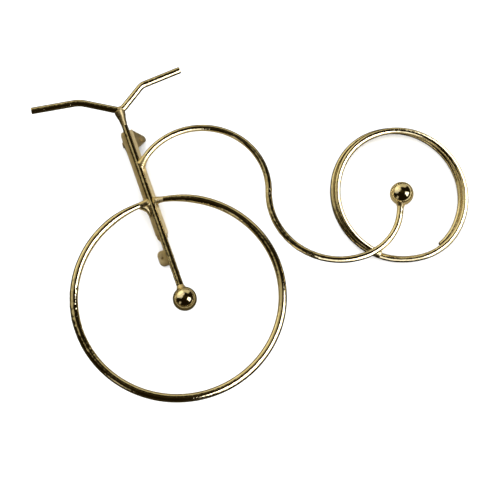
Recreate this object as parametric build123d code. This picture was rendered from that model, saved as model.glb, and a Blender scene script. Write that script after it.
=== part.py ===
from build123d import *
import os
from itertools import pairwise
from math import atan2, cos, degrees, hypot, radians, sin, sqrt, tan

# A wire brooch in the shape of a high-wheel bicycle, lying face up on its pin finding.
# Millimetres. The bicycle's upward direction is +Y, and the face of the brooch looks along +Z.
# Plan places are measured from the centre of the front wheel until the last section.

# Wire gauges
wheel_gauge = 1.45
wheel_end_gauge = 1.05
fork_gauge = 1.2
bar_gauge = 1.2
spine_gauge = 1.15
ring_gauge = 1.1

# A bent wire's round section is stood for by one with this many flat sides, which keeps its facets few
wire_sides = 10

# Front wheel, fork and hub
wheel_radius = 17.55
wheel_taper = 24.0
hub_diameter = 4.1
hub_x = 1.1
hub_y = -0.4
fork_length = 34.8
fork_lean = 19.0
socket_depth = 0.5

# Handlebar bends, left grip to right grip, counted from the fork's top: x, y, bend radius
handlebar_bends = [
    (-15.67, 1.05, None),
    (-7.37, 2.65, 5.0),
    (-0.07, 1.05, 1.4),
    (3.43, 5.87, 2.0),
    (10.03, 8.77, None),
]

# Spine: an upper hook, a lower hook that tightens towards its end, and a straight lead to the rear hub
upper_hook_x = 3.8
upper_hook_y = 19.0
upper_hook_radius = 11.45
hook_axis_tilt = -0.9
lower_hook_radius = 12.1
tight_hook_radius = 9.1
tight_hook_angle = 294.0
lead_angle = 353.6
lead_length = 3.5

# Rear wheel: one wire wound nearly twice round the same oval, the front turn lying on the back turn
oval_long = 11.8
oval_short = 10.9
oval_angle = 108.0
front_turn_rise = 0.3
back_turn_shift_x = -0.35
back_turn_shift_y = 0.5
wire_start_angle = 311.0
back_turn_end_angle = 252.0
front_turn_start_angle = 300.0
wire_end_angle = 250.0
step_share = 0.28
turn_gap = 0.03
crossing_gap = 0.1

# Solder
joint_gap = 0.02
collar_height = 0.45
collar_wall = 0.22
head_fillet_length = 1.7
head_fillet_radius = 0.95
wheel_bead_radius = 0.85
wheel_bead_reach = 0.4
wheel_bead_drop = 0.5
spine_bead_radius = 0.8
spine_bead_reach = 0.1
spine_bead_rise = 0.3
crossing_bead_radius = 0.8
seam_reach = 0.55
seam_root = 0.15
seam_height = 0.2

# Pin finding: a flat bar behind the fork, its ears, hinged stem and turning catch
bar_start = 2.6
finding_length = 25.0
bar_width = 2.2
bar_thickness = 0.4
bar_corner = 0.5
ear_thickness = 0.35
ear_base = 3.6
ear_tip_radius = 0.7
ear_splay = 52.0
pivot_setback = 1.8
pivot_depth = 1.05
rivet_radius = 0.3
rivet_head_radius = 0.5
rivet_head_height = 0.2
rivet_dimple_radius = 0.16
rivet_gap = 0.01
hinge_clearance = 0.03
side_clearance = 0.05
knuckle_radius = 0.68
stem_root_radius = 0.4
stem_root_length = 2.7
stem_neck_length = 0.6
stem_radius = 0.32
point_length = 8.0
point_tip_radius = 0.08
point_setback = 0.4
catch_clearance = 0.03
stem_play = 0.05
rotor_wall = 0.21
rotor_lip_height = 0.12
rotor_lip_length = 0.3
housing_length = 2.7
housing_foot_width = 1.1
knob_gap = 2.1
knob_length = 2.75
knob_reach = 1.9
knob_thickness = 0.4
knob_corner = 0.8
knob_hole_radius = 0.2
knob_hole_inset = 0.65

# Heights, counted from what the brooch lies on
back_turn_z = ring_gauge / 2
front_turn_z = back_turn_z + ring_gauge + turn_gap
wire_plane_z = front_turn_z + ring_gauge / 2 + crossing_gap + spine_gauge / 2
bar_top_z = wire_plane_z - fork_gauge / 2
bar_under_z = bar_top_z - bar_thickness
wheel_z = bar_top_z + joint_gap + wheel_gauge / 2
pivot_z = bar_under_z - pivot_depth

# Places that follow from the sizes above
hub_radius = hub_diameter / 2
hub_centre = Vector(hub_x, hub_y, wire_plane_z)
fork_up = Vector(-sin(radians(fork_lean)), cos(radians(fork_lean)), 0)
fork_right = Vector(cos(radians(fork_lean)), sin(radians(fork_lean)), 0)
fork_top = hub_centre + fork_up * fork_length
at_fork = Pos(fork_top.X, fork_top.Y, 0) * Rot(0, 0, fork_lean)
bar_end = bar_start + finding_length - knob_length - knob_gap
bar_length = bar_end - bar_start
pivot_y = -(bar_start + pivot_setback)


def along_fork(shape, across, down, z):
    """Place a shape beside the fork: across it, down from its top, and up from the ground."""
    return at_fork * Pos(across, -down, z) * shape


def down_to_circle(centre, radius):
    """How far down the fork its axis first meets a circle in plan."""
    from_centre = fork_top - centre
    beside = from_centre.dot(fork_right)
    return from_centre.dot(fork_up) - sqrt(radius**2 - beside**2)


def outward(angle):
    """The level direction at an angle from +X."""
    return Vector(cos(radians(angle)), sin(radians(angle)), 0)


def section(path, where, gauge):
    """A bent wire's section across its path, with a flat side down."""
    across = Plane(origin=path @ where, x_dir=(0, 0, 1), z_dir=path % where)
    return across * RegularPolygon(gauge / 2, wire_sides, major_radius=False, rotation=180 / wire_sides)


def wire(path, gauge):
    """A wire of one gauge along a path of lines and arcs."""
    return sweep(section(path, 0, gauge), path=path)


def ball(centre, radius):
    """A ball about a place."""
    return Pos(*centre) * Sphere(radius)


# Handlebar
def make_handlebar(gauge):
    points = [fork_top + Vector(x, y, 0) for x, y, radius in handlebar_bends]
    radii = [radius for x, y, radius in handlebar_bends if radius]
    return wire(FilletPolyline(*points, radius=radii), gauge)


handlebar = make_handlebar(bar_gauge)
handlebar_room = make_handlebar(bar_gauge + 2 * joint_gap)


# Fork: coped to the handlebar above and let into the hub below
def fork_room(extra, start, run):
    """A round space about the fork, wider than its wire by an extra on each side."""
    tube = Rot(-90, 0, 0) * Cylinder(fork_gauge / 2 + extra, run)
    return along_fork(tube, 0, start + run / 2, wire_plane_z)


fork_reach = bar_gauge
fork_stock = fork_room(0, -fork_reach, fork_reach + fork_length - hub_radius + socket_depth)
fork_wire = (fork_stock - handlebar_room).solids().sort_by(Axis.Y)[0]
whole_fork_room = fork_room(joint_gap, -fork_length, 2 * fork_length)

# Front wheel: one bent length, drawn thinner towards its ends, which stop against both sides of the fork
wheel_crossing = down_to_circle(Vector(0, 0, wire_plane_z), wheel_radius)
wheel_top = fork_top - fork_up * wheel_crossing
wheel_start_angle = degrees(atan2(wheel_top.Y, wheel_top.X))


def wheel_arc(first, last):
    """The wheel's centre line between two angles, both counted from the fork."""
    return CenterArc((0, 0, wheel_z), wheel_radius, wheel_start_angle + first, last - first)


def make_wheel(extra):
    """The wheel's wire, still closed, wider than it is by an extra on each side."""
    full_gauge = wheel_gauge + 2 * extra
    ring = wire(wheel_arc(wheel_taper, 360 - wheel_taper), full_gauge)
    for path in (wheel_arc(wheel_taper, 0), wheel_arc(360 - wheel_taper, 360)):
        ends = [section(path, 0, full_gauge), section(path, 1, wheel_end_gauge + 2 * extra)]
        ring += sweep(ends, path=path, multisection=True)
    return ring


wheel_slot = Box(fork_gauge + 2 * joint_gap, 4 * wheel_gauge, 2 * wheel_gauge)
front_wheel_ring = make_wheel(0) - along_fork(wheel_slot, 0, wheel_crossing, wheel_z)
wheel_room = make_wheel(joint_gap)

# Spine
upper_centre = Vector(upper_hook_x, upper_hook_y, wire_plane_z)
lower_centre = upper_centre + outward(hook_axis_tilt) * (upper_hook_radius + lower_hook_radius)
tight_centre = lower_centre + outward(tight_hook_angle) * (lower_hook_radius - tight_hook_radius)
spine_crossing = down_to_circle(upper_centre, upper_hook_radius)
spine_start = fork_top - fork_up * spine_crossing - upper_centre
spine_start_angle = degrees(atan2(spine_start.Y, spine_start.X) + fork_gauge / 2 / upper_hook_radius)
spine_hooks = [
    CenterArc(upper_centre, upper_hook_radius, spine_start_angle, hook_axis_tilt - spine_start_angle),
    CenterArc(lower_centre, lower_hook_radius, 180 + hook_axis_tilt, tight_hook_angle - 180 - hook_axis_tilt),
    CenterArc(tight_centre, tight_hook_radius, tight_hook_angle, lead_angle - tight_hook_angle),
]
lead_start = spine_hooks[-1] @ 1
lead_way = spine_hooks[-1] % 1
rear_centre = lead_start + lead_way * lead_length
spine_path = Wire([*spine_hooks, Line(lead_start, rear_centre)])
spine_room = wire(spine_path, spine_gauge + 2 * joint_gap)
spine_stock = wire(spine_path, spine_gauge) - fork_room(joint_gap, 0, fork_length / 2)
spine_stock -= ball(rear_centre, hub_radius - socket_depth)
spine_wire = spine_stock.solids().sort_by(SortBy.VOLUME)[-1]

# Rear wheel
oval_step = (oval_long - oval_short) / (2 - sqrt(2))


def oval_turn(centre, first, last):
    """Part of the oval between two angles, as the arcs of its quarters: tight at the ends, flat at the sides."""
    start, end = first - oval_angle, last - oval_angle
    meets = [angle for angle in range(45, 900, 90) if start < angle < end]
    arcs = []
    for low, high in pairwise([start, *meets, end]):
        quarter = round((low + high) / 180)
        at_end = quarter % 2 == 0
        radius = oval_long - oval_step if at_end else oval_short + oval_step
        offset = outward(90 * quarter) * (oval_step if at_end else -oval_step)
        arcs.append(Pos(*centre) * Rot(0, 0, oval_angle) * CenterArc(offset, radius, low, high - low))
    return arcs


front_turn_centre = Vector(rear_centre.X, rear_centre.Y + front_turn_rise, front_turn_z)
back_turn_centre = Vector(rear_centre.X + back_turn_shift_x, rear_centre.Y + back_turn_shift_y, back_turn_z)
back_turn = oval_turn(back_turn_centre, wire_start_angle, 360 + back_turn_end_angle)
front_turn = oval_turn(front_turn_centre, front_turn_start_angle, 360 + wire_end_angle)
step_start = back_turn[-1] @ 1
step_end = front_turn[0] @ 0
step_run = (step_end - step_start).length * step_share
step_first = step_start + back_turn[-1] % 1 * step_run
step_last = step_end - front_turn[0] % 0 * step_run
step_bends = [(step_last - step_first).get_angle(way) for way in (back_turn[-1] % 1, front_turn[0] % 0)]
step_radii = [0.9 * step_run / tan(radians(bend / 2)) for bend in step_bends]
step_up = FilletPolyline(step_start, step_first, step_last, step_end, radius=step_radii)
rear_wheel_ring = wire(Wire([*back_turn, *step_up.edges(), *front_turn]), ring_gauge)

# Hub balls, each drilled for its wire's end
front_hub_ball = ball(hub_centre, hub_radius) - fork_room(joint_gap, fork_length / 2, fork_length / 2)
front_hub_ball += ball(hub_centre, hub_radius - socket_depth)
rear_hub_ball = ball(rear_centre, hub_radius) - spine_room
rear_hub_ball += ball(rear_centre, hub_radius - socket_depth)


def make_collar(gauge, ball_centre, way):
    """A ring of solder about a wire where it leaves its ball, before the wire's own room is cut."""
    seat = ball_centre + way * (sqrt(hub_radius**2 - (gauge / 2) ** 2) - joint_gap)
    ring = Plane(origin=seat, z_dir=way) * extrude(Circle(gauge / 2 + collar_wall), collar_height)
    ring = chamfer(ring.edges().filter_by(GeomType.CIRCLE), collar_wall / 2)
    return ring - ball(ball_centre, hub_radius + joint_gap)


front_hub_collar = make_collar(fork_gauge, hub_centre, fork_up) - whole_fork_room
rear_hub_collar = make_collar(spine_gauge, rear_centre, -lead_way) - spine_room

# Solder at the joints of the wires
bar_room = Box(2 * bar_width, fork_length, bar_thickness)
bar_room = along_fork(bar_room, 0, bar_start + fork_length / 2, bar_top_z - bar_thickness / 2)
head_fillet = Cone(head_fillet_radius, fork_gauge / 2 + 2 * joint_gap, head_fillet_length)
head_fillet = along_fork(Rot(90, 0, 0) * head_fillet, 0, head_fillet_length / 2, wire_plane_z)
handlebar_solder = head_fillet - whole_fork_room - handlebar_room


def bead(radius, across, down, z):
    """A round bead of solder beside the fork, open where the wires and the bar pass through it."""
    drop = along_fork(Sphere(radius), across, down, z)
    return (drop - whole_fork_room - wheel_room - spine_room - bar_room).solids().sort_by(SortBy.VOLUME)[-1]


wheel_bead_across = fork_gauge / 2 + wheel_bead_reach
wheel_solder_left, wheel_solder_right = [
    bead(wheel_bead_radius, side * wheel_bead_across, wheel_crossing + wheel_bead_drop, wheel_z)
    for side in (-1, 1)
]
spine_bead_across = fork_gauge / 2 + spine_bead_reach
spine_solder = bead(spine_bead_radius, spine_bead_across, spine_crossing - spine_bead_rise, wire_plane_z)

# Where the spine passes over the rear wheel's front turn
spine_shadow = Pos(0, 0, front_turn_z - wire_plane_z) * spine_hooks[-1]
crossings = [place for arc in front_turn for place in spine_shadow.find_intersection_points(arc)]
crossing_place = Vector(crossings[0].X, crossings[0].Y, (front_turn_z + wire_plane_z) / 2)
front_turn_room = wire(Wire(front_turn), ring_gauge + 2 * joint_gap)
crossing_solder = ball(crossing_place, crossing_bead_radius) - spine_room - front_turn_room

# Solder run in the two corners between the fork and the bar behind it
seam_sides = [
    along_fork(
        Box(seam_reach - seam_root, bar_length, seam_height),
        side * (seam_reach + seam_root) / 2,
        bar_start + bar_length / 2,
        bar_top_z + seam_height / 2,
    )
    for side in (-1, 1)
]
bar_seam_solder = seam_sides[0] + seam_sides[1]
bar_seam_solder = bar_seam_solder - fork_room(0, 0, fork_length) - wheel_room - spine_room
bar_seam_solder = bar_seam_solder - wheel_solder_left - wheel_solder_right - spine_solder

# Pin bar: flat strip with an upright ear and a splayed ear at its upper end, rounded at its other corners
strip_plan = Pos(0, -bar_start - bar_length / 2) * Rectangle(bar_width, bar_length)
free_corners = strip_plan.vertices().sort_by(Axis((0, 0, 0), (1, 1, 0)))[:-1]
strip_plan = fillet(free_corners, bar_corner)
strip = Pos(0, 0, bar_under_z) * extrude(strip_plan, bar_thickness)


def make_ear(length, bore_depth):
    """A tapered plate with a round tip and a rivet bore, hanging from the origin in the plane of Y and Z."""
    base = Pos(0, ear_thickness / 4) * Rectangle(ear_base, ear_thickness / 2)
    tip = Pos(0, ear_tip_radius - length) * Circle(ear_tip_radius)
    outline = make_hull(base.edges() + tip.edges()) - Pos(0, -bore_depth) * Circle(rivet_radius + rivet_gap)
    return extrude(Plane.YZ * outline, ear_thickness)


ear_hinge_x = bar_width / 2 - ear_thickness
upright_ear = Pos(-bar_width / 2, pivot_y, bar_under_z) * make_ear(bar_under_z, pivot_depth)
upright_ear = upright_ear & extrude(strip_plan, bar_top_z)
splayed_depth = pivot_depth / cos(radians(ear_splay))
splayed_ear = Rot(0, -ear_splay, 0) * make_ear(splayed_depth + ear_tip_radius, splayed_depth)
splayed_ear = Pos(ear_hinge_x, pivot_y, bar_under_z) * splayed_ear
pin_bar = strip + upright_ear + splayed_ear

# Rivet: a shaft across both ears, its right end bent square to the splayed ear, with a flat head on each
bend_x = ear_hinge_x + pivot_depth * tan(radians(ear_splay))
rivet_left = -bar_width / 2 - rivet_head_height
shaft = Pos((rivet_left + bend_x) / 2, 0, 0) * Rot(0, 90, 0) * Cylinder(rivet_radius, bend_x - rivet_left)
left_head = Pos(rivet_left + rivet_head_height / 2, 0, 0) * Rot(0, 90, 0)
left_head = left_head * Cylinder(rivet_head_radius, rivet_head_height)
head_seat = ear_thickness + rivet_gap
bent_end = Pos(0, 0, head_seat / 2) * Cylinder(rivet_radius, head_seat)
bent_end += Sphere(rivet_radius)
bent_end += Pos(0, 0, head_seat + rivet_head_height / 2) * Cylinder(rivet_head_radius, rivet_head_height)
bent_end -= Pos(0, 0, head_seat + rivet_head_height) * Cylinder(rivet_dimple_radius, rivet_head_height)
bent_end = Pos(bend_x, 0, 0) * Rot(0, 90 - ear_splay, 0) * bent_end
hinge_rivet = Pos(0, pivot_y, pivot_z) * (shaft + left_head + bent_end) - pin_bar
hinge_rivet = hinge_rivet.solids().sort_by(SortBy.VOLUME)[-1]

# Pin stem: a knuckle on the rivet, a stout root, a straight shaft and a long sharp point
point_end = finding_length - pivot_setback - point_setback
stem_outline = [
    (0, 0),
    (stem_root_radius, 0),
    (stem_root_radius, stem_root_length),
    (stem_radius, stem_root_length + stem_neck_length),
    (stem_radius, point_end - point_length),
    (point_tip_radius, point_end),
    (0, point_end),
]
stem_section = make_face(Polyline(*[(radius, -along) for radius, along in stem_outline], close=True))
turned_stem = revolve(stem_section, Axis.Y)
knuckle_length = 2 * (ear_hinge_x - side_clearance)
knuckle = Rot(0, 90, 0) * Cylinder(knuckle_radius, knuckle_length)
knuckle_bore = Rot(0, 90, 0) * Cylinder(rivet_radius + hinge_clearance, 2 * knuckle_length)
pin_stem = Pos(0, pivot_y, pivot_z) * (turned_stem + knuckle - knuckle_bore)

# Catch housing: a split tube on a foot under the bar's lower end
rotor_bore_radius = stem_radius + stem_play
rotor_radius = rotor_bore_radius + rotor_wall
rotor_lip_radius = rotor_radius + rotor_lip_height
slot_width = 2 * (stem_radius + catch_clearance)
housing_start = bar_end - housing_length
housing_radius = hypot(pivot_z, slot_width / 2)
along_bar = Rot(90, 0, 0)
housing = along_bar * Cylinder(housing_radius, housing_length)
housing += Pos(0, 0, pivot_depth / 2) * Box(housing_foot_width, housing_length, pivot_depth)
housing -= along_bar * Cylinder(rotor_radius + catch_clearance, 2 * housing_length)
housing -= Pos(0, 0, -housing_radius) * Box(slot_width, 2 * housing_length, 2 * housing_radius)
catch_housing = Pos(0, -(housing_start + housing_length / 2), pivot_z) * housing

# Catch rotor: an open-sided tube with a lip at each end of its housing and a thumb knob, shown unlocked
rotor_start = housing_start - side_clearance - rotor_lip_length
rotor_end = bar_start + finding_length
rotor_length = rotor_end - rotor_start
rotor = Pos(0, -(rotor_start + rotor_length / 2), 0) * along_bar * Cylinder(rotor_radius, rotor_length)
for lip_start in (rotor_start, bar_end + side_clearance):
    lip = along_bar * Cylinder(rotor_lip_radius, rotor_lip_length)
    rotor += Pos(0, -(lip_start + rotor_lip_length / 2), 0) * lip
knob_plate = Pos(-knob_reach / 2, 0) * Rectangle(knob_reach, knob_length)
knob_plate = fillet(knob_plate.vertices().group_by(Axis.X)[0], knob_corner)
knob_plate -= Pos(knob_hole_inset - knob_reach, 0) * Circle(knob_hole_radius)
rotor += Pos(0, -(rotor_end - knob_length / 2), 0) * extrude(knob_plate, knob_thickness / 2, both=True)
rotor_hollow = along_bar * Cylinder(rotor_bore_radius, 4 * fork_length)
rotor_hollow += Pos(0, 0, -rotor_lip_radius) * Box(slot_width, 4 * fork_length, 2 * rotor_lip_radius)
catch_rotor = Pos(0, 0, pivot_z) * (rotor - rotor_hollow)

pieces = {
    "handlebar": handlebar,
    "fork_wire": fork_wire,
    "front_wheel_ring": front_wheel_ring,
    "spine_wire": spine_wire,
    "rear_wheel_ring": rear_wheel_ring,
    "front_hub_ball": front_hub_ball,
    "rear_hub_ball": rear_hub_ball,
    "front_hub_collar": front_hub_collar,
    "rear_hub_collar": rear_hub_collar,
    "handlebar_solder": handlebar_solder,
    "wheel_solder_left": wheel_solder_left,
    "wheel_solder_right": wheel_solder_right,
    "spine_solder": spine_solder,
    "crossing_solder": crossing_solder,
    "bar_seam_solder": bar_seam_solder,
    "pin_bar": at_fork * pin_bar,
    "hinge_rivet": at_fork * hinge_rivet,
    "pin_stem": at_fork * pin_stem,
    "catch_housing": at_fork * catch_housing,
    "catch_rotor": at_fork * catch_rotor,
}

# The brooch's own frame starts at the middle of its footprint, on what it lies on
footprint = Compound(children=[Compound(piece.solids()) for piece in pieces.values()]).bounding_box()
to_frame = Pos(-footprint.center().X, -footprint.center().Y, -footprint.min.Z)

os.makedirs("parts", exist_ok=True)
for name, piece in pieces.items():
    export_step(to_frame * Compound(piece.solids()), f"parts/{name}.step")

hinge_place = (to_frame * at_fork * Pos(0, pivot_y, pivot_z)).position
print("frame moved by", to_frame.position)
print("pin hinge", hinge_place, "along", fork_right)
print("catch axis along", fork_up * -1, "straight shaft of the pin", stem_outline[4][1] - stem_outline[3][1])
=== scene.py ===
import math

import bmesh
import bpy
from mathutils import Matrix, Vector, noise


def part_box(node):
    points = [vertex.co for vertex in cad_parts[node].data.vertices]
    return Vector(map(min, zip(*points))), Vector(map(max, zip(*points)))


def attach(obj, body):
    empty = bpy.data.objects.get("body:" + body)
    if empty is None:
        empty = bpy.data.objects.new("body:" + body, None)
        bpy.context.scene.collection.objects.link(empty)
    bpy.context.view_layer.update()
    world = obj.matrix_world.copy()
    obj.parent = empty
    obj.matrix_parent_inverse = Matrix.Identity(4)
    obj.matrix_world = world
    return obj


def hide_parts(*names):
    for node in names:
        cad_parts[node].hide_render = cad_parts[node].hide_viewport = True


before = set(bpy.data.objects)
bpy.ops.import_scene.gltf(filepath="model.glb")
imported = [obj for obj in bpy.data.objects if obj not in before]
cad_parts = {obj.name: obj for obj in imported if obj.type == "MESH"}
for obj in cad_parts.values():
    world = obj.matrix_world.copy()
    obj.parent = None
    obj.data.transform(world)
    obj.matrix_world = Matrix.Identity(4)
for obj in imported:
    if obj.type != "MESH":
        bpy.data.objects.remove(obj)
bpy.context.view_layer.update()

# A wire brooch in the shape of a high-wheel bicycle, lying face up on a pale table.
# The bicycle's upward direction is +Y, and the face of the brooch looks along +Z.
# Sizes and places are in millimetres. Meshes are scaled to metres when they are finished.
MM = 0.001


def box_mm(node):
    low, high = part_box(node)
    return low / MM, high / MM


def middle_of(node):
    low, high = box_mm(node)
    return (low + high) / 2


def outward(angle):
    """The level direction at an angle in degrees from +X."""
    return Vector((math.cos(math.radians(angle)), math.sin(math.radians(angle)), 0))


# Front wheel: its wire thickens from each end to its full gauge over so many degrees
WHEEL_GAUGE = 1.45
WHEEL_END_GAUGE = 0.95
WHEEL_RADIUS = 17.55
WHEEL_TAPER = 26.0

# Fork: its wire starts above the fork's top, inside the solder, and ends inside the hub
FORK_TOP_GAUGE = 1.0
FORK_FOOT_GAUGE = 1.24
FORK_TOP_REACH = 0.95
FORK_LENGTH = 34.8
FORK_LEAN = 19.0
HUB_SOCKET = 0.6

# How far the ends of the wheel and the spine stop from the fork's axis, as shares of its gauge
WHEEL_END_INSET = 0.45
SPINE_END_INSET = 0.4

# Handlebar bends, left grip to right grip, counted from the fork's top: x, y, bend radius
BAR_GAUGE = 1.2
HANDLEBAR_BENDS = [
    (-15.67, 1.05, None),
    (-7.37, 2.65, 5.0),
    (-0.07, 1.05, 1.4),
    (3.43, 5.87, 2.0),
    (10.03, 8.77, None),
]

# Spine: an upper hook, a lower hook that tightens towards its end, and a straight lead to the rear hub
SPINE_GAUGE = 1.15
UPPER_HOOK_X = 3.8
UPPER_HOOK_Y = 19.0
UPPER_HOOK_RADIUS = 11.45
HOOK_AXIS_TILT = -0.9
LOWER_HOOK_RADIUS = 12.1
TIGHT_HOOK_RADIUS = 9.1
TIGHT_HOOK_ANGLE = 294.0
LEAD_ANGLE = 353.6

# Rear wheel: one wire wound nearly twice round an oval, with a step up from the back turn to the front turn
RING_GAUGE = 1.1
OVAL_LONG = 11.8
OVAL_SHORT = 10.9
OVAL_ANGLE = 108.0
FRONT_TURN_RISE = 0.3
BACK_TURN_SHIFT = (-0.62, 0.68)
TABLE_LIFT = 0.008
WIRE_START_ANGLE = 311.0
STEP_ANGLES = (612.0, 660.0)
WIRE_END_ANGLE = 966.0

# Places that follow
wheel_centre = middle_of("front_wheel_ring")
hub_centre = middle_of("front_hub_ball")
rear_centre = middle_of("rear_hub_ball")
hub_radius = (box_mm("front_hub_ball")[1].z - box_mm("front_hub_ball")[0].z) / 2
fork_up = outward(90 + FORK_LEAN)
fork_right = outward(FORK_LEAN)
fork_top = hub_centre + fork_up * FORK_LENGTH
wire_z = hub_centre.z
back_turn_z = box_mm("rear_wheel_ring")[0].z + RING_GAUGE / 2 + TABLE_LIFT
front_turn_z = box_mm("rear_wheel_ring")[1].z - RING_GAUGE / 2


def down_to_circle(centre, radius):
    """How far down the fork its axis first meets a circle in plan."""
    beside = (fork_top - centre).dot(fork_right)
    return (fork_top - centre).dot(fork_up) - math.sqrt(radius**2 - beside**2)


wheel_crossing = down_to_circle(wheel_centre, WHEEL_RADIUS)


def on_fork(across, down, z):
    """A place beside the fork: across it, down from its top, and up from the table."""
    place = fork_top + fork_right * across - fork_up * down
    return Vector((place.x, place.y, z))


# Lines of the wires: steps in degrees on arcs and bends, and in millimetres along a wire
ARC_STEP = 1.0
BEND_STEP = 4.0
WIRE_STEP = 0.2


def arc(centre, radius, first, last):
    count = max(2, round(abs(last - first) / ARC_STEP) + 1)
    return [centre + outward(first + (last - first) * i / (count - 1)) * radius for i in range(count)]


def rounded(corners):
    """The line through corners given as (place, bend radius), with an arc at each bend."""
    line = [corners[0][0]]
    for (before, _), (corner, radius), (after, _) in zip(corners, corners[1:], corners[2:]):
        way_in = (corner - before).normalized()
        way_out = (after - corner).normalized()
        turn = way_in.angle(way_out)
        reach = radius * math.tan(turn / 2)
        bisector = (way_out - way_in).normalized()
        centre = corner + bisector * math.hypot(radius, reach)
        axis = way_in.cross(way_out)
        spoke = corner - way_in * reach - centre
        count = max(3, round(math.degrees(turn) / BEND_STEP) + 1)
        line += [centre + Matrix.Rotation(turn * i / (count - 1), 3, axis) @ spoke for i in range(count)]
    return line + [corners[-1][0]]


def resampled(line, spacing):
    """The same line in equal short runs."""
    lengths = [(b - a).length for a, b in zip(line, line[1:])]
    total = sum(lengths)
    count = max(4, round(total / spacing))
    places, walked, at = [], 0.0, 0
    for i in range(count + 1):
        goal = total * i / count
        while at < len(lengths) - 1 and walked + lengths[at] < goal:
            walked += lengths[at]
            at += 1
        share = (goal - walked) / lengths[at] if lengths[at] else 0
        places.append(line[at].lerp(line[at + 1], min(share, 1)))
    return places


def handlebar_line():
    return rounded([(fork_top + Vector((x, y, 0)), radius) for x, y, radius in HANDLEBAR_BENDS])


def wheel_line():
    top = on_fork(0, wheel_crossing, wheel_centre.z) - wheel_centre
    start = math.degrees(math.atan2(top.y, top.x))
    edge = math.degrees(FORK_FOOT_GAUGE * WHEEL_END_INSET / WHEEL_RADIUS)
    return arc(wheel_centre, WHEEL_RADIUS, start + edge, start + 360 - edge)


def spine_line():
    upper = Vector((wheel_centre.x + UPPER_HOOK_X, wheel_centre.y + UPPER_HOOK_Y, wire_z))
    start = on_fork(0, down_to_circle(upper, UPPER_HOOK_RADIUS), wire_z) - upper
    edge = FORK_FOOT_GAUGE * SPINE_END_INSET / UPPER_HOOK_RADIUS
    start_angle = math.degrees(math.atan2(start.y, start.x) - edge)
    lower = upper + outward(HOOK_AXIS_TILT) * (UPPER_HOOK_RADIUS + LOWER_HOOK_RADIUS)
    tight = lower + outward(TIGHT_HOOK_ANGLE) * (LOWER_HOOK_RADIUS - TIGHT_HOOK_RADIUS)
    line = arc(upper, UPPER_HOOK_RADIUS, start_angle, HOOK_AXIS_TILT)
    line += arc(lower, LOWER_HOOK_RADIUS, 180 + HOOK_AXIS_TILT, TIGHT_HOOK_ANGLE)[1:]
    line += arc(tight, TIGHT_HOOK_RADIUS, TIGHT_HOOK_ANGLE, LEAD_ANGLE)[1:]
    return line + [rear_centre]


def oval(angle):
    """A place on the rear wheel's oval, from its middle."""
    step = (OVAL_LONG - OVAL_SHORT) / (2 - math.sqrt(2))
    quarter = round((angle - OVAL_ANGLE) / 90)
    at_end = quarter % 2 == 0
    radius = OVAL_LONG - step if at_end else OVAL_SHORT + step
    return outward(OVAL_ANGLE + 90 * quarter) * (step if at_end else -step) + outward(angle) * radius


def rear_wheel_line():
    back = Vector((rear_centre.x + BACK_TURN_SHIFT[0], rear_centre.y + BACK_TURN_SHIFT[1], back_turn_z))
    front = Vector((rear_centre.x, rear_centre.y + FRONT_TURN_RISE, front_turn_z))
    line = []
    for i in range(round((WIRE_END_ANGLE - WIRE_START_ANGLE) / ARC_STEP) + 1):
        angle = WIRE_START_ANGLE + i * ARC_STEP
        rise = min(max((angle - STEP_ANGLES[0]) / (STEP_ANGLES[1] - STEP_ANGLES[0]), 0), 1)
        line.append(back.lerp(front, rise * rise * (3 - 2 * rise)) + oval(angle))
    return line


# Meshes of the wires
WIRE_SIDES = 28
END_CHAMFER = 0.07

# A slow waver in every wire and closer tool marks in some, each with its share of the radius
# and with how close it lies along and round the wire
WAVER = 0.014
WAVER_ALONG = 0.35
WAVER_ROUND = 0.8
TOOL_MARKS = 0.06
MARKS_ALONG = 2.0
MARKS_ROUND = 1.5
MARKS_FADE = 1.0

# How far apart the noise and the texture of two wires start
SEED_STEP = 9.7
TEXTURE_STEP = 50


def sweep_wire(bm, line, gauge_at, seed, spacing=WIRE_STEP, waver=WAVER, worked=(0, 0)):
    """A round wire along a line, with tool marks between two distances along it.

    Each vertex also keeps its place on the wire as if it were straight, for the wire's texture.
    """
    layers = bm.verts.layers.float_vector
    straight = layers.get("straight") or layers.new("straight")
    places = resampled(line, spacing)
    first_way = (places[1] - places[0]).normalized()
    last_way = (places[-1] - places[-2]).normalized()
    places.insert(1, places[0] + first_way * END_CHAMFER)
    places.insert(-1, places[-1] - last_way * END_CHAMFER)
    up = Vector((0, 0, 1))
    length = sum((b - a).length for a, b in zip(places, places[1:]))
    walked = 0.0
    rings = []
    for i, place in enumerate(places):
        before, after = places[max(i - 1, 0)], places[min(i + 1, len(places) - 1)]
        if i:
            walked += (place - before).length
        way = (after - before).normalized()
        up = (up - way * up.dot(way)).normalized()
        side = way.cross(up)
        radius = gauge_at(walked / length) / 2
        if i in (0, len(places) - 1):
            radius -= END_CHAMFER
        ring = []
        for k in range(WIRE_SIDES):
            turn = 2 * math.pi * k / WIRE_SIDES
            cos, sin = math.cos(turn), math.sin(turn)
            at = Vector((walked * WAVER_ALONG, cos * WAVER_ROUND + seed * SEED_STEP, sin * WAVER_ROUND))
            swell = 1 + waver * noise.noise(at)
            if worked[0] < walked < worked[1]:
                fade = min(walked - worked[0], worked[1] - walked, MARKS_FADE)
                at = Vector((walked * MARKS_ALONG, cos * MARKS_ROUND + seed, sin * MARKS_ROUND))
                swell += TOOL_MARKS * fade * noise.noise(at)
            vertex = bm.verts.new(place + (up * cos + side * sin) * radius * swell)
            vertex[straight] = Vector((walked + seed * TEXTURE_STEP, cos * radius, sin * radius))
            ring.append(vertex)
        rings.append(ring)
    for ring, following in zip(rings, rings[1:]):
        for k in range(WIRE_SIDES):
            j = (k + 1) % WIRE_SIDES
            bm.faces.new((ring[k], ring[j], following[j], following[k])).smooth = True
    bm.faces.new(rings[0][::-1])
    bm.faces.new(rings[-1])


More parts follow.
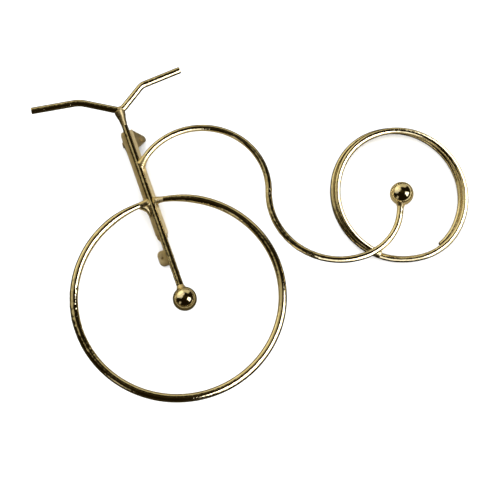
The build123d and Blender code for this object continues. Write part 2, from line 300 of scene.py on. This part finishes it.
def add_piece(name, mesh, slot, body, *nodes):
    """Put a finished mesh in the scene as a piece of the brooch."""
    piece = bpy.data.objects.new(name, mesh)
    bpy.context.scene.collection.objects.link(piece)
    mesh.materials.clear()
    mesh.materials.append(materials[slot])
    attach(piece, body)
    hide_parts(*nodes)


def mesh_of(bm, name):
    """A mesh in metres from one in millimetres, with its faces turned outwards."""
    bmesh.ops.recalc_face_normals(bm, faces=bm.faces)
    bm.transform(Matrix.Scale(MM, 4))
    mesh = bpy.data.meshes.new(name)
    bm.to_mesh(mesh)
    bm.free()
    return mesh


def add_wire(name, line, gauge_at, slot, node, seed, worked=(0, 0)):
    bm = bmesh.new()
    sweep_wire(bm, line, gauge_at, seed, worked=worked)
    add_piece(name, mesh_of(bm, name), slot, "brooch", node)


# Materials
def new_material(name):
    """A material with its node tree and its main shader."""
    material = bpy.data.materials.new(name)
    material.use_nodes = True
    return material, material.node_tree, material.node_tree.nodes["Principled BSDF"]


def add_node(tree, kind, inputs=None, **settings):
    """A shader node with its settings, and with its inputs set to values or linked to other nodes."""
    node = tree.nodes.new(kind)
    for key, value in settings.items():
        setattr(node, key, value)
    for key, value in (inputs or {}).items():
        if isinstance(value, bpy.types.NodeSocket):
            tree.links.new(value, node.inputs[key])
        else:
            node.inputs[key].default_value = value
    return node


def scaled(tree, place, factors):
    """A place with each coordinate multiplied by its own factor."""
    return add_node(tree, "ShaderNodeVectorMath", {0: place, 1: factors}, operation="MULTIPLY").outputs[0]


def noise_at(tree, place, scale, detail, roughness):
    inputs = {"Vector": place, "Scale": scale, "Detail": detail, "Roughness": roughness}
    return add_node(tree, "ShaderNodeTexNoise", inputs).outputs["Fac"]


def mapped(tree, value, first, last, low=0.0, high=1.0, soft=False):
    """A value between first and last, drawn out to lie between low and high."""
    inputs = {"Value": value, "From Min": first, "From Max": last, "To Min": low, "To Max": high}
    kind = "SMOOTHSTEP" if soft else "LINEAR"
    return add_node(tree, "ShaderNodeMapRange", inputs, interpolation_type=kind).outputs[0]


def mixed(tree, share, first, second):
    """A colour between two others."""
    return add_node(tree, "ShaderNodeMix", {0: share, 6: first, 7: second}, data_type="RGBA").outputs[2]


def bumped(tree, height, depth, under=None):
    """A normal bent by a height, on top of the normal under it. The depth is in millimetres."""
    inputs = {"Height": height, "Distance": depth * MM, "Strength": 1.0}
    if under is not None:
        inputs["Normal"] = under
    return add_node(tree, "ShaderNodeBump", inputs).outputs[0]


# The noises in the gold plate: scale, detail, roughness
GRAIN_NOISE = (1.6, 5.0, 0.62)
DENT_NOISE = (1.5, 3.0, 0.5)
TARNISH_NOISE = (0.55, 6.0, 0.6)
SCUFF_NOISE = (1.3, 2.0, 0.5)
WORN_NOISE = (0.13, 1.0, 0.5)

# How close they lie along and across a wire
DRAWN_GRAIN = (0.12, 5.5, 5.5)
SATIN_GRAIN = (2.2, 2.2, 2.2)
DENT_GRAIN = (0.9, 0.9, 0.9)
SCUFF_GRAIN = (1.6, 4.0, 4.0)

# The stretches of noise that count, and the shares they give
TARNISH_STRETCH = (0.42, 0.75)
TARNISH_MOST = 0.75
GRAIN_STRETCH = (0.3, 0.7)
SMOOTHEST = 0.7
ROUGHEST = 1.5
WORN_STRETCH = (0.52, 0.64)


def gold(name, bright, dull, roughness, depths, drawn):
    """Gold plate: drawing lines or a satin grain, small dents, scuffed stretches and patches of tarnish."""
    grain_depth, dent_depth, scuff_depth = depths
    material, tree, shader = new_material(name)
    if drawn:
        place = add_node(tree, "ShaderNodeAttribute", attribute_name="straight").outputs["Vector"]
        unit = 1.0
    else:
        place = add_node(tree, "ShaderNodeTexCoord").outputs["Object"]
        unit = 1 / MM
    grain_place, dent_place, scuff_place = (
        scaled(tree, place, [factor * unit for factor in factors])
        for factors in (DRAWN_GRAIN if drawn else SATIN_GRAIN, DENT_GRAIN, SCUFF_GRAIN)
    )
    grain = noise_at(tree, grain_place, *GRAIN_NOISE)
    dents = noise_at(tree, dent_place, *DENT_NOISE)

    tarnish = noise_at(tree, dent_place, *TARNISH_NOISE)
    share = mapped(tree, tarnish, *TARNISH_STRETCH, 0.0, TARNISH_MOST)
    tree.links.new(mixed(tree, share, (*bright, 1), (*dull, 1)), shader.inputs["Base Color"])
    rough = mapped(tree, grain, *GRAIN_STRETCH, roughness * SMOOTHEST, roughness * ROUGHEST)
    tree.links.new(rough, shader.inputs["Roughness"])
    shader.inputs["Metallic"].default_value = 1.0

    scuffs = noise_at(tree, scuff_place, *SCUFF_NOISE)
    worn = mapped(tree, noise_at(tree, dent_place, *WORN_NOISE), *WORN_STRETCH)
    scuffed = add_node(tree, "ShaderNodeMath", {0: scuffs, 1: worn}, operation="MULTIPLY").outputs[0]
    normal = bumped(tree, dents, dent_depth)
    normal = bumped(tree, grain, grain_depth, normal)
    normal = bumped(tree, scuffed, scuff_depth, normal)
    tree.links.new(normal, shader.inputs["Normal"])
    return material


# name: bright colour, dull colour, roughness, depths of grain, dents and scuffs, whether it is drawn wire
GOLDS = {
    "wire_gold": ((0.80, 0.70, 0.46), (0.60, 0.49, 0.26), 0.07, (0.003, 0.05, 0.020), True),
    "wheel_gold": ((0.79, 0.69, 0.45), (0.60, 0.49, 0.26), 0.07, (0.003, 0.04, 0.020), True),
    "ball_gold": ((0.82, 0.71, 0.45), (0.60, 0.49, 0.27), 0.06, (0.002, 0.04, 0.010), False),
    "solder_gold": ((0.87, 0.71, 0.40), (0.62, 0.49, 0.25), 0.30, (0.003, 0.03, 0.0), False),
    "finding_gold": ((0.82, 0.68, 0.41), (0.60, 0.48, 0.27), 0.44, (0.006, 0.03, 0.010), False),
    "pin_steel": ((0.78, 0.72, 0.60), (0.52, 0.46, 0.34), 0.20, (0.004, 0.02, 0.008), False),
}
materials = {name: gold(name, *look) for name, look in GOLDS.items()}

# Wires, and the stretches that the photograph shows scuffed, in millimetres from each wire's start
FORK_WORKED = (24, 34)
WHEEL_WORKED = (18, 33)
SPINE_WORKED = (27, 49)


def fork_gauge_at(share):
    """The fork's wire thickens evenly towards its foot."""
    return FORK_TOP_GAUGE + (FORK_FOOT_GAUGE - FORK_TOP_GAUGE) * share


def wheel_gauge_at(share):
    """The wheel's wire is drawn thinner towards both of its ends."""
    end_share = min(share, 1 - share) * 360 / WHEEL_TAPER
    rise = min(end_share, 1)
    return WHEEL_END_GAUGE + (WHEEL_GAUGE - WHEEL_END_GAUGE) * rise * rise * (3 - 2 * rise)


add_wire("handlebar_bent_wire", handlebar_line(), lambda share: BAR_GAUGE, "wire_gold", "handlebar", 1)
fork_line = [fork_top + fork_up * FORK_TOP_REACH, hub_centre + fork_up * (hub_radius - HUB_SOCKET)]
add_wire("fork_drawn_wire", fork_line, fork_gauge_at, "wire_gold", "fork_wire", 2, FORK_WORKED)
add_wire(
    "front_wheel_wire", wheel_line(), wheel_gauge_at, "wheel_gold", "front_wheel_ring", 3, WHEEL_WORKED
)
add_wire(
    "spine_bent_wire", spine_line(), lambda share: SPINE_GAUGE, "wire_gold", "spine_wire", 4, SPINE_WORKED
)
add_wire("rear_wheel_wire", rear_wheel_line(), lambda share: RING_GAUGE, "wire_gold", "rear_wheel_ring", 5)

# Hub balls
BALL_WAVER = 0.012
BALL_WAVER_SCALE = 1.3


def add_ball(name, centre, node, seed):
    """A hub ball, a little out of true where it was turned and handled."""
    bm = bmesh.new()
    bmesh.ops.create_icosphere(bm, subdivisions=6, radius=hub_radius)
    for vertex in bm.verts:
        way = vertex.co.normalized()
        swell = noise.noise(way * BALL_WAVER_SCALE + Vector((seed, 0, 0)))
        vertex.co += way * (BALL_WAVER * swell - BALL_WAVER)
        vertex.co += centre
    for face in bm.faces:
        face.smooth = True
    add_piece(name, mesh_of(bm, name), "ball_gold", "brooch", node)


add_ball("front_hub_turned_ball", hub_centre, "front_hub_ball", 3)
add_ball("rear_hub_turned_ball", rear_centre, "rear_hub_ball", 8)

# Solder: drops and sleeves that are melted into one skin
SOLDER_VOXEL = 0.05
SOLDER_STEP = 0.1
DROP_SMOOTHING = 8
WEB_SMOOTHING = 14
COLLAR_SMOOTHING = 5

# Under the handlebar: how far down the fork two sleeves run, and how far from its top the dip is covered.
# The gauges of each sleeve are at its start, its middle and its end.
HEAD_STRETCH, HEAD_GAUGES = (-1.0, 0.45), (1.9, 1.7, 1.3)
CONE_STRETCH, CONE_GAUGES = (0.3, 2.2), (1.36, 1.14, 0.96)
DIP_REACH, DIP_GAUGES = 2.1, (1.1, 1.24, 1.1)

# At the wheel's ends: a sleeve, whose gauges are counted from the wheel's own, and a bead on the fork's side,
# whose places are (across the fork, down from the crossing)
END_LENGTH, END_GAUGES = 3.0, (0.4, 0.05, -0.2)
WHEEL_BEAD, WHEEL_BEAD_GAUGES = ((0.38, 1.5), (0.45, 0.3), (0.38, -0.75)), (0.5, 0.95, 0.5)

# The web under the left end: how far along the wheel it leaves it, and (across, down, height) of its bend
# and of its foot
WEB_START = 2.0
WEB_BEND = (-0.95, 0.9, 2.6)
WEB_FOOT = (-0.8, 2.3, 2.2)
WEB_BEND_RADIUS = 1.2
WEB_GAUGES = (0.6, 1.0, 0.5)

# At the spine's start and where it crosses the rear wheel
FLARE_LENGTH, FLARE_GAUGES = 2.2, (1.75, 1.35, 1.05)
SPINE_BEAD, SPINE_BEAD_GAUGES = ((0.32, 1.35), (0.36, 0), (0.32, -1.2)), (0.55, 1.1, 0.55)
CROSSING_RADII = (0.78, 0.78, 0.5)

# Where a wire leaves its ball: the stretch is counted from the ball's skin, the gauges from the wire's own
COLLAR_STRETCH, COLLAR_GAUGES = (-0.45, 0.6), (0.9, 0.34, -0.12)


def add_sleeve(bm, line, gauges):
    """A short thin skin about a wire, with its gauge at the start, the middle and the end."""
    first, middle, last = gauges

    def gauge_at(share):
        if share < 0.5:
            return first + (middle - first) * share * 2
        return middle + (last - middle) * (share * 2 - 1)

    sweep_wire(bm, line, gauge_at, 0, spacing=SOLDER_STEP, waver=0)


def add_bead(bm, side, down, bead, gauges):
    """Solder that lies against one side of the fork."""
    add_sleeve(bm, [on_fork(side * across, down + further, wire_z) for across, further in bead], gauges)


def thicker(gauge, changes):
    return [gauge + change for change in changes]


def start_of(line, length):
    """The first part of a line, up to a distance along it."""
    return resampled(line, SOLDER_STEP)[:int(length / SOLDER_STEP) + 1]


def add_melted(name, bm, node, smoothing=DROP_SMOOTHING):
    """A piece of solder: one smooth skin round all the parts of a mesh in millimetres."""
    raw = bpy.data.meshes.new(name + "_raw")
    bmesh.ops.recalc_face_normals(bm, faces=bm.faces)
    bm.to_mesh(raw)
    bm.free()
    holder = bpy.data.objects.new(name + "_raw", raw)
    bpy.context.scene.collection.objects.link(holder)
    remesh = holder.modifiers.new("remesh", "REMESH")
    remesh.mode = "VOXEL"
    remesh.voxel_size = SOLDER_VOXEL
    remesh.use_smooth_shade = True
    smooth = holder.modifiers.new("smooth", "SMOOTH")
    smooth.factor = 0.5
    smooth.iterations = smoothing
    evaluated = holder.evaluated_get(bpy.context.evaluated_depsgraph_get())
    mesh = bpy.data.meshes.new_from_object(evaluated)
    mesh.name = name
    bpy.data.objects.remove(holder)
    bpy.data.meshes.remove(raw)
    mesh.transform(Matrix.Scale(MM, 4))
    add_piece(name, mesh, "solder_gold", "brooch", node)


def add_handlebar_solder():
    """A fillet that runs from the handlebar's dip down the fork."""
    bm = bmesh.new()
    add_sleeve(bm, [on_fork(0, down, wire_z) for down in HEAD_STRETCH], HEAD_GAUGES)
    add_sleeve(bm, [on_fork(0, down, wire_z) for down in CONE_STRETCH], CONE_GAUGES)
    dip = rounded([(fork_top + Vector((x, y, 0)), radius) for x, y, radius in HANDLEBAR_BENDS[1:4]])
    near = [place for place in resampled(dip, SOLDER_STEP) if (place - fork_top).length < DIP_REACH]
    add_sleeve(bm, near, DIP_GAUGES)
    add_melted("handlebar_solder_fillet", bm, "handlebar_solder")


def add_wheel_solder(name, side, node):
    """Solder that runs from the side of the fork along the wheel's end, with a web under the left end."""
    bm = bmesh.new()
    line = wheel_line() if side < 0 else wheel_line()[::-1]
    add_sleeve(bm, start_of(line, END_LENGTH), thicker(WHEEL_END_GAUGE, END_GAUGES))
    add_bead(bm, side, wheel_crossing, WHEEL_BEAD, WHEEL_BEAD_GAUGES)
    if side < 0:
        leaves = start_of(line, WEB_START)[-1]
        bend, foot = (
            on_fork(across, wheel_crossing + down, height) for across, down, height in (WEB_BEND, WEB_FOOT)
        )
        add_sleeve(bm, rounded([(leaves, None), (bend, WEB_BEND_RADIUS), (foot, None)]), WEB_GAUGES)
    add_melted(name, bm, node, WEB_SMOOTHING)


def add_spine_solder():
    """Solder that flares along the spine's start and lies against the fork."""
    bm = bmesh.new()
    line = spine_line()
    down = (fork_top - line[0]).dot(fork_up)
    add_sleeve(bm, start_of(line, FLARE_LENGTH), FLARE_GAUGES)
    add_bead(bm, 1, down, SPINE_BEAD, SPINE_BEAD_GAUGES)
    add_melted("spine_solder_fillet", bm, "spine_solder", WEB_SMOOTHING)


def add_crossing_solder():
    """A drop between the spine and the rear wheel's front turn."""
    bm = bmesh.new()
    centre = middle_of("crossing_solder")
    centre.z = (front_turn_z + wire_z) / 2
    matrix = Matrix.Translation(centre) @ Matrix.Diagonal((*CROSSING_RADII, 1))
    bmesh.ops.create_icosphere(bm, subdivisions=4, radius=1.0, matrix=matrix)
    add_melted("crossing_solder_drop", bm, "crossing_solder")


def add_collar(name, centre, way, gauge, node):
    """A fillet of solder round a wire where it leaves its ball."""
    bm = bmesh.new()
    seat = math.sqrt(hub_radius**2 - (gauge / 2) ** 2)
    line = [centre + way * (seat + further) for further in COLLAR_STRETCH]
    add_sleeve(bm, line, thicker(gauge, COLLAR_GAUGES))
    add_melted(name, bm, node, COLLAR_SMOOTHING)


add_handlebar_solder()
add_wheel_solder("wheel_solder_left_drop", -1, "wheel_solder_left")
add_wheel_solder("wheel_solder_right_drop", 1, "wheel_solder_right")
add_spine_solder()
add_crossing_solder()
add_collar("front_hub_solder", hub_centre, fork_up, FORK_FOOT_GAUGE, "front_hub_collar")
add_collar("rear_hub_solder", rear_centre, -outward(90 + LEAD_ANGLE), SPINE_GAUGE, "rear_hub_collar")

# Stamped and turned pieces of the pin finding: how far each one's edges are rounded over
STAMPED_EDGE = 0.05
RIVET_EDGE = 0.035
STEM_EDGE = 0.03
ROTOR_EDGE = 0.04

# How a CAD mesh is prepared: vertices closer than this are joined, faces that meet below an angle become
# one, edges above an angle are rounded over, and edges above another are shaded sharp
JOIN_DISTANCE = 0.001
FLAT_ANGLE = math.radians(1)
EDGE_ANGLE = math.radians(32)
SHARP_ANGLE = math.radians(40)

# The hole in the rotor's knob: in from the knob's outer edge, and up from its underside
KNOB_EDGE_DEPTH = 0.01
KNOB_HOLE_INSET = 0.65
KNOB_PLUG_HEIGHT = 0.06
KNOB_PLUG_RADIUS = 0.24
KNOB_PLUG_THICKNESS = 0.05


def knob_plug_place(bm):
    """Where a thin plug near the underside of the knob leaves its hole blind and dark."""
    edge = min(vertex.co.dot(fork_right) for vertex in bm.verts)
    plate = [vertex.co for vertex in bm.verts if vertex.co.dot(fork_right) < edge + KNOB_EDGE_DEPTH]
    centre = sum(plate, Vector()) / len(plate) + fork_right * KNOB_HOLE_INSET
    return Matrix.Translation((centre.x, centre.y, min(place.z for place in plate) + KNOB_PLUG_HEIGHT))


def add_softened(name, node, slot, body, edge):
    """A CAD piece with its sharp edges rounded over, and the rotor's knob plugged."""
    bm = bmesh.new()
    bm.from_mesh(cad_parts[node].data)
    bm.transform(Matrix.Scale(1 / MM, 4))
    plug_place = knob_plug_place(bm) if node == "catch_rotor" else None
    bmesh.ops.remove_doubles(bm, verts=bm.verts, dist=JOIN_DISTANCE)
    bmesh.ops.dissolve_limit(bm, angle_limit=FLAT_ANGLE, verts=bm.verts, edges=bm.edges)
    sharp = [e for e in bm.edges if len(e.link_faces) == 2 and e.calc_face_angle(0) > EDGE_ANGLE]
    bmesh.ops.bevel(
        bm, geom=sharp, offset=edge, segments=2, profile=0.6, affect="EDGES", clamp_overlap=True,
        miter_outer="ARC",
    )
    if plug_place is not None:
        bmesh.ops.create_cone(
            bm, cap_ends=True, segments=20, radius1=KNOB_PLUG_RADIUS, radius2=KNOB_PLUG_RADIUS,
            depth=KNOB_PLUG_THICKNESS, matrix=plug_place,
        )
    bmesh.ops.triangulate(bm, faces=[face for face in bm.faces if len(face.verts) > 4])
    for face in bm.faces:
        face.smooth = True
    mesh = mesh_of(bm, name)
    mesh.set_sharp_from_angle(angle=SHARP_ANGLE)
    add_piece(name, mesh, slot, body, node)


add_softened("pin_bar_strip", "pin_bar", "finding_gold", "brooch", STAMPED_EDGE)
add_softened("hinge_rivet_peened", "hinge_rivet", "finding_gold", "brooch", RIVET_EDGE)
add_softened("pin_stem_drawn", "pin_stem", "pin_steel", "pin_stem", STEM_EDGE)
add_softened("catch_housing_tube", "catch_housing", "finding_gold", "brooch", STAMPED_EDGE)
add_softened("catch_rotor_turned", "catch_rotor", "finding_gold", "catch_rotor", ROTOR_EDGE)

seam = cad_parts["bar_seam_solder"]
seam.data.materials.clear()
seam.data.materials.append(materials["solder_gold"])

# Camera
IMAGE_PIXELS = 500
PIXEL_SIZE = 0.1694 * MM
CAMERA_ELEVATION = 72.0
CAMERA_DISTANCE = 327 * MM
CAMERA_TARGET = Vector((0.29, -3.55, 2.9)) * MM
CAMERA_CLIP = (10 * MM, 10.0)
SENSOR_WIDTH = 36.0


def add_camera():
    """The photograph's view: from above the handlebar side of the table, tilted towards the wheels."""
    tilt = math.radians(CAMERA_ELEVATION)
    away = Vector((0, -math.cos(tilt), math.sin(tilt)))
    data = bpy.data.cameras.new("camera")
    data.sensor_width = SENSOR_WIDTH
    data.lens = SENSOR_WIDTH * CAMERA_DISTANCE / (IMAGE_PIXELS * PIXEL_SIZE)
    data.clip_start, data.clip_end = CAMERA_CLIP
    camera = bpy.data.objects.new("camera", data)
    bpy.context.scene.collection.objects.link(camera)
    camera.location = CAMERA_TARGET + away * CAMERA_DISTANCE
    camera.rotation_euler = (math.radians(90) - tilt, 0, 0)
    bpy.context.scene.camera = camera


# Table and backdrop
FLOOR_HALF = 1.5
MIRRORED_HEIGHT = 0.004 * MM
BACKDROP_RADIUS = FLOOR_HALF * 0.98
PAPER_COLOUR = (0.92, 0.92, 0.91)
PAPER_ROUGHNESS = 0.9
BACKDROP_COLOUR = (0.93, 0.93, 0.92)

# Colours of the table as the gold mirrors it, all painted light and painted shade: painted light inside the
# rings, painted shade in the front wheel's middle and everywhere else, and the most painted light to the
# right of the rear wheel
TABLE_SHADE_PAINTED = (0.020, 0.016, 0.007)
RING_LIGHT_PAINTED = (0.27, 0.235, 0.155)
RIGHT_LIGHT_PAINTED = (0.45, 0.43, 0.36)
MIDDLE_SHADE_PAINTED = (0.045, 0.037, 0.018)

# Where each colour begins and is full, counted from the table's middle line for the right side,
# from the wheel's centre for its middle, and from each ring's own wire for the rest
RIGHT_EDGES = (32, 40)
MIDDLE_EDGES = (11.5, 8.5)
RING_EDGES = (1.0, -1.0)
REAR_OUTER_EDGES = (3.5, 1.5)
REAR_INNER_EDGES = (-1.5, -4.0)


def add_plane(name, height):
    """A wide sheet of paper that can be looked through from below."""
    mesh = bpy.data.meshes.new(name)
    corners = [(-1, -1), (1, -1), (1, 1), (-1, 1)]
    mesh.from_pydata([(x * FLOOR_HALF, y * FLOOR_HALF, height) for x, y in corners], [], [(0, 1, 2, 3)])
    plane = bpy.data.objects.new(name, mesh)
    bpy.context.scene.collection.objects.link(plane)
    material, tree, shader = new_material(name + "_paper")
    shader.inputs["Base Color"].default_value = (*PAPER_COLOUR, 1)
    shader.inputs["Roughness"].default_value = PAPER_ROUGHNESS
    shader.inputs["Specular IOR Level"].default_value = 0.0
    from_below = add_node(tree, "ShaderNodeNewGeometry").outputs["Backfacing"]
    clear = add_node(tree, "ShaderNodeBsdfTransparent").outputs[0]
    seen = add_node(tree, "ShaderNodeMixShader", {0: from_below, 1: shader.outputs[0], 2: clear})
    tree.links.new(seen.outputs[0], tree.nodes["Material Output"].inputs["Surface"])
    mesh.materials.append(material)
    return plane, tree, shader


def add_floor():
    """The white table, and a darker, uneven table that only the gold mirrors, coloured with painted light and
    painted shade.
    """
    floor, _, _ = add_plane("floor", 0.0)
    floor.visible_glossy = False
    # This sheet's colour is painted shade and painted light, which the gold shows as painted reflections
    shade_and_light_table, tree, shader = add_plane("mirrored_floor", MIRRORED_HEIGHT)
    shade_and_light_table.visible_camera = shade_and_light_table.visible_diffuse = shade_and_light_table.visible_shadow = False
    place = add_node(tree, "ShaderNodeTexCoord").outputs["Object"]
    flat = scaled(tree, place, (1, 1, 0))
    to_right = add_node(tree, "ShaderNodeSeparateXYZ", {0: place}).outputs["X"]
    upper = wheel_centre + Vector((UPPER_HOOK_X, UPPER_HOOK_Y, 0))

    areas = [(to_right, 0, RIGHT_EDGES, RIGHT_LIGHT_PAINTED)]
    for centre, radius, edges, shade in (
        (rear_centre, OVAL_LONG, REAR_OUTER_EDGES, TABLE_SHADE_PAINTED),
        (rear_centre, OVAL_LONG, REAR_INNER_EDGES, RING_LIGHT_PAINTED),
        (upper, UPPER_HOOK_RADIUS, RING_EDGES, RING_LIGHT_PAINTED),
        (wheel_centre, WHEEL_RADIUS, RING_EDGES, RING_LIGHT_PAINTED),
        (wheel_centre, 0, MIDDLE_EDGES, MIDDLE_SHADE_PAINTED),
    ):
        inputs = {0: flat, 1: (centre.x * MM, centre.y * MM, 0)}
        away = add_node(tree, "ShaderNodeVectorMath", inputs, operation="DISTANCE").outputs["Value"]
        areas.append((away, radius, edges, shade))

    # Painted shade is the ground, and painted light and more painted shade are mixed over it area by area
    colour = add_node(tree, "ShaderNodeRGB").outputs[0]
    colour.default_value = (*TABLE_SHADE_PAINTED, 1)
    for value, radius, (begins, full), shade in areas:
        share = mapped(tree, value, (radius + begins) * MM, (radius + full) * MM, soft=True)
        colour = mixed(tree, share, colour, (*shade, 1))
    tree.links.new(colour, shader.inputs["Base Color"])


def add_backdrop():
    """A pale paper all round the table, which is only seen behind the brooch."""
    bm = bmesh.new()
    bmesh.ops.create_icosphere(bm, subdivisions=4, radius=BACKDROP_RADIUS)
    mesh = bpy.data.meshes.new("backdrop")
    bm.to_mesh(mesh)
    bm.free()
    backdrop = bpy.data.objects.new("backdrop", mesh)
    bpy.context.scene.collection.objects.link(backdrop)
    backdrop.visible_glossy = backdrop.visible_diffuse = backdrop.visible_shadow = False
    material, tree, _ = new_material("backdrop_paper")
    glow = add_node(tree, "ShaderNodeEmission", {"Color": (*BACKDROP_COLOUR, 1)})
    tree.links.new(glow.outputs[0], tree.nodes["Material Output"].inputs["Surface"])
    mesh.materials.append(material)


# The studio round the brooch: where each soft panel stands, in degrees, and its light
# name: (azimuth, half width, lowest, highest, softness), colour
PANELS = {
    "lamp": ((-20, 18, 27, 58, 5), (3.2, 3.15, 3.0)),
    "back_wall": ((140, 32, 2, 70, 8), (0.52, 0.47, 0.31)),
    "back_strip": ((104, 50, 5, 40, 5), (0.64, 0.59, 0.42)),
    "left_strip": ((226, 7, 2, 30, 5), (0.60, 0.56, 0.45)),
    "overhead": ((0, 180, 76, 90, 6), (0.022, 0.016, 0.005)),
    "horizon": ((60, 110, -7, 3, 3), (0.22, 0.19, 0.12)),
}
ROOM_COLOUR = (0.010, 0.006, 0.001)


def constant(tree, values):
    """A node that gives the same three numbers everywhere."""
    return add_node(tree, "ShaderNodeCombineXYZ", dict(enumerate(values))).outputs[0]


def math_of(tree, operation, *values):
    return add_node(tree, "ShaderNodeMath", dict(enumerate(values)), operation=operation).outputs[0]


def add_panel(tree, way, place, colour):
    """The light of one panel with soft edges, as seen in a direction."""
    azimuth, half_width, lowest, highest, softness = (math.radians(angle) for angle in place)
    inputs = {"Vector": way, "Angle": -azimuth}
    turned = add_node(tree, "ShaderNodeVectorRotate", inputs, rotation_type="Z_AXIS").outputs[0]
    parts = add_node(tree, "ShaderNodeSeparateXYZ", {0: turned}).outputs
    aside = math_of(tree, "ABSOLUTE", math_of(tree, "ARCTAN2", parts["Y"], parts["X"]))
    height = math_of(tree, "ARCSINE", parts["Z"])
    light = constant(tree, colour)
    for value, outside, inside in (
        (aside, half_width + softness, half_width - softness),
        (height, lowest - softness, lowest + softness),
        (height, highest + softness, highest - softness),
    ):
        inputs = {0: light, "Scale": mapped(tree, value, outside, inside, soft=True)}
        light = add_node(tree, "ShaderNodeVectorMath", inputs, operation="SCALE").outputs[0]
    return light


def add_world():
    """A dark room with soft panels, which is only mirrored. The table has its own light."""
    world = bpy.data.worlds.new("room")
    bpy.context.scene.world = world
    world.use_nodes = True
    world.cycles_visibility.diffuse = False
    tree = world.node_tree
    way = add_node(tree, "ShaderNodeTexCoord").outputs["Generated"]
    total = constant(tree, ROOM_COLOUR)
    for place, colour in PANELS.values():
        inputs = {0: total, 1: add_panel(tree, way, place, colour)}
        total = add_node(tree, "ShaderNodeVectorMath", inputs, operation="ADD").outputs[0]
    tree.links.new(total, tree.nodes["Background"].inputs["Color"])


def add_card(name, place, aim, size, radiance, receivers):
    """A white card close to some of the pieces, mirrored in them alone."""
    data = bpy.data.lights.new(name, "AREA")
    data.shape = "RECTANGLE"
    data.size, data.size_y = size[0] * MM, size[1] * MM
    data.energy = radiance * math.pi * data.size * data.size_y
    card = bpy.data.objects.new(name, data)
    card.location = Vector(place) * MM
    card.rotation_euler = (Vector(aim) - Vector(place)).to_track_quat("-Z", "Y").to_euler()
    card.visible_camera = False
    card.visible_diffuse = False
    lit = bpy.data.collections.new(name + "_receivers")
    for receiver in receivers:
        lit.objects.link(bpy.data.objects[receiver])
    card.light_linking.receiver_collection = lit
    bpy.context.scene.collection.objects.link(card)


FILL_STRENGTH = 6.0
FILL_SPREAD = math.radians(178)


def add_fill():
    """A wide soft lamp that whitens the table and isn't mirrored in the gold."""
    data = bpy.data.lights.new("fill", "SUN")
    data.energy = FILL_STRENGTH
    data.angle = FILL_SPREAD
    lamp = bpy.data.objects.new("fill", data)
    lamp.visible_glossy = False
    bpy.context.scene.collection.objects.link(lamp)


add_camera()
add_floor()
add_backdrop()
add_world()
add_fill()

# The cards: place, what they face, size, radiance and the pieces that mirror them
wire_pieces = [
    "handlebar_bent_wire", "fork_drawn_wire", "front_wheel_wire", "spine_bent_wire", "rear_wheel_wire",
    "spine_solder_fillet", "crossing_solder_drop",
]
finding_pieces = [
    "pin_bar_strip", "hinge_rivet_peened", "catch_housing_tube", "catch_rotor_turned",
    "handlebar_solder_fillet", "wheel_solder_left_drop", "wheel_solder_right_drop",
]
balls = ["front_hub_turned_ball", "rear_hub_turned_ball"]
mid_fork = hub_centre + fork_up * FORK_LENGTH / 2
add_card("lamp_card", (213, -104, 190), (0, 0, 0), (430, 250), 4.2, wire_pieces)
add_card("right_card", (76, 40, 42), rear_centre, (78, 84), 3.4, ["rear_wheel_wire"])
add_card("near_card", (30, -56, 38), rear_centre, (84, 60), 1.6, ["rear_wheel_wire", "spine_bent_wire"])
add_card("finding_card", (28, 50, 108), mid_fork, (100, 80), 1.35, finding_pieces)
add_card("ball_card", (-80, 50, 90), (0, 0, 0), (150, 130), 0.50, balls)
bpy.context.scene.view_settings.view_transform = "Standard"
